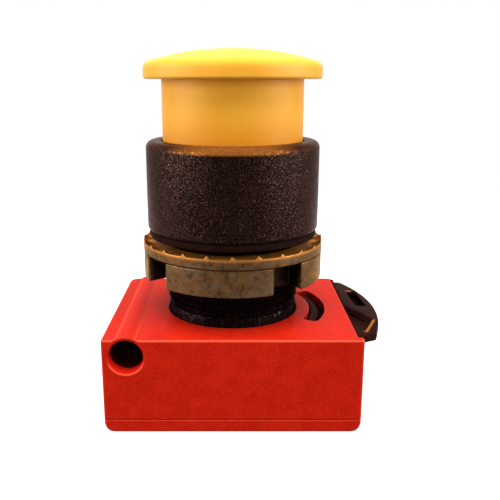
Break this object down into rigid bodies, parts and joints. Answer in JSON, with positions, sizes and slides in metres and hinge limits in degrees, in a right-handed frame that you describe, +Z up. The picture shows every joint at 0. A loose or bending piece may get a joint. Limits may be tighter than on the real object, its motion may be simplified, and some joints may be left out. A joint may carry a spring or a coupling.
{
  "type": "emergency stop push button",
  "caption": "Latching mushroom-head push button: domed head in a round bezel, threaded barrel with gasket, toothed washer and ring nut, on a rectangular latch-on contact base.",
  "frame": {"origin": "on the button's axis at the underside of the base", "axes": "+Z up the button's axis to the head, +X towards the latch slide's tab, -Y towards the tunnel's mouth"},
  "size_m": [0.0456, 0.0324, 0.0592],
  "materials": {
    "yellow_plastic": "smooth satin moulding",
    "black_plastic": "fine spark-eroded texture",
    "red_plastic": "fine matt moulding",
    "black_rubber": "plain",
    "zinc_alloy": "die-cast, dull and mottled",
    "steel": "plain zinc plate",
    "spring_steel": "drawn wire",
    "brass": "rolled strip",
    "silver": "contact silver",
    "ivory_plastic": "plain moulding"
  },
  "bodies": {
    "base": {"base_housing": "red_plastic", "base_cover": "red_plastic", "cover_screws": "steel", "locking_screw": "steel", "contact_holder": "ivory_plastic", "fixed_contact_left": "brass", "fixed_contact_right": "brass", "fixed_contact_tips": "silver", "terminal_clamps": "steel", "terminal_screws": "steel", "threaded_barrel": "black_plastic", "spring_seat": "black_plastic", "bezel": "black_plastic", "wiper_seal": "black_rubber", "panel_gasket": "black_rubber", "latch_spring": "spring_steel", "latch_retainer": "steel", "return_spring": "spring_steel", "contact_spring": "spring_steel"},
    "head": {"mushroom_head": "yellow_plastic", "head_stem": "black_plastic", "head_screw": "steel"},
    "carrier": {"contact_carrier": "ivory_plastic", "contact_bridge": "brass", "bridge_tips": "silver"},
    "slide": {"latch_slide": "black_plastic"},
    "washer": {"lock_washer": "zinc_alloy"},
    "nut": {"ring_nut": "zinc_alloy"}
  },
  "joints": [
    {"name": "head_press", "type": "slide", "parent": "base", "child": "head", "axis": [0, 0, 1], "range_m": [-0.0055, 0], "deforming": ["return_spring", "latch_spring"]},
    {"name": "contact_travel", "type": "slide", "parent": "base", "child": "carrier", "axis": [0, 0, 1], "range_m": [-0.0055, 0], "deforming": ["contact_spring"]},
    {"name": "slide_pull", "type": "slide", "parent": "base", "child": "slide", "axis": [1, 0, 0], "range_m": [0, 0.0008]},
    {"name": "nut_travel", "type": "slide", "parent": "base", "child": "washer", "axis": [0, 0, 1], "range_m": [-0.00526, 0.00026]},
    {"name": "nut_turn", "type": "hinge", "parent": "washer", "child": "nut", "pos_m": [0, 0, 0.024], "axis": [0, 0, 1], "range_deg": [-1890, 90]}
  ],
  "couplings": [
    {"joint": "contact_travel", "follows": "head_press", "ratio": 1},
    {"joint": "nut_travel", "follows": "nut_turn", "m_per_rad": 0.00015915}
  ]
}
